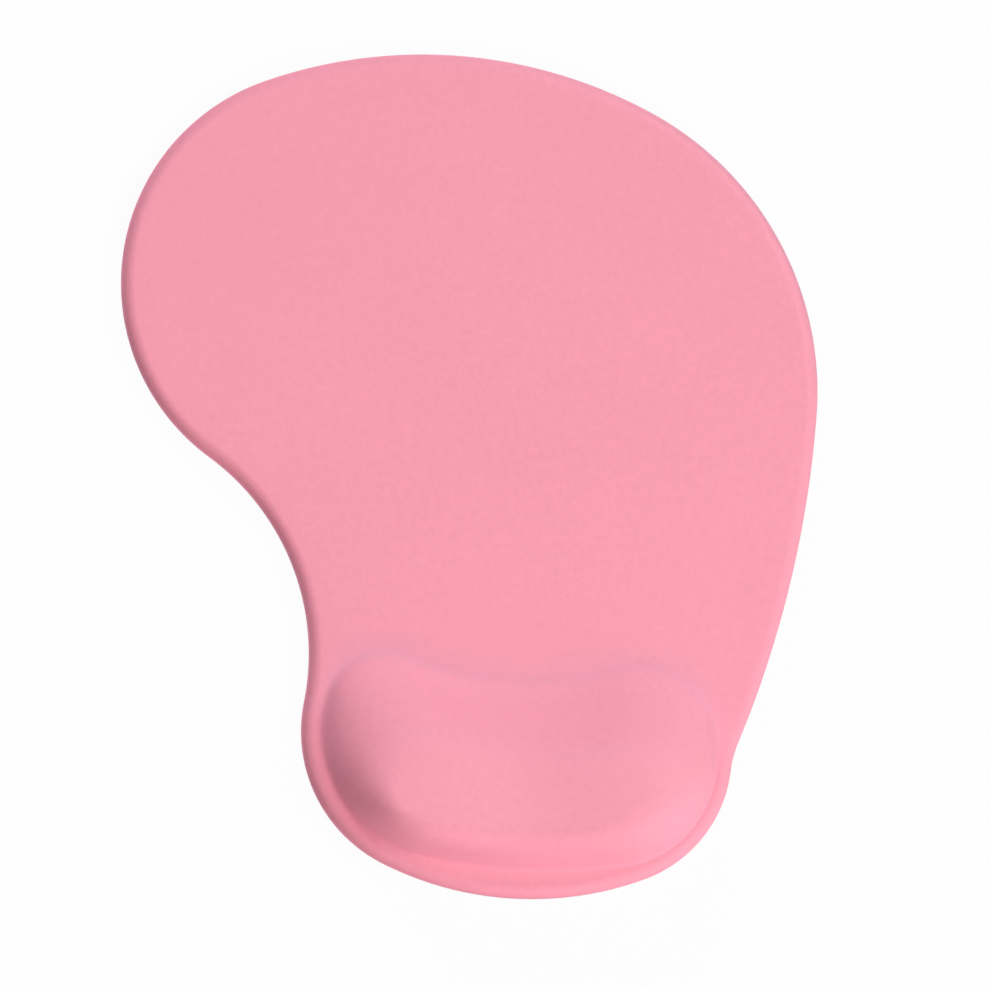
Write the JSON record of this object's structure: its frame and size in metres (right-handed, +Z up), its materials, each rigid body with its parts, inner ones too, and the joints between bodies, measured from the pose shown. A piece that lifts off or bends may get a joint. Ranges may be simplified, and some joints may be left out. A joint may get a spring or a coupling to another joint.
{
  "type": "mouse mat with wrist rest",
  "caption": "Bean-shaped fabric mouse mat with a soft crowned gel cushion at its near end that carries the user's wrist.",
  "frame": {"origin": "under the middle of the mat's outline, on the surface that the base sheet stands on", "axes": "+X to the right, +Y away from the user from the cushion towards the wide end, +Z up from the table"},
  "size_m": [0.1894, 0.2294, 0.0205],
  "materials": {
    "cover": "matt fine knit in pink",
    "foam": "closed-cell foam",
    "gel": "clear soft gel",
    "gel_film": "thin clear film",
    "adhesive": "thin hot-melt film",
    "base": "dark non-slip sheet with a fine moulded pattern"
  },
  "bodies": {
    "root": {"base_sheet": "base", "base_adhesive": "adhesive", "foam_mat": "foam", "gel_film_lower": "gel_film", "gel_core": "gel", "gel_film_upper": "gel_film", "cover_adhesive": "adhesive", "fabric_cover": "cover"}
  },
  "joints": []
}
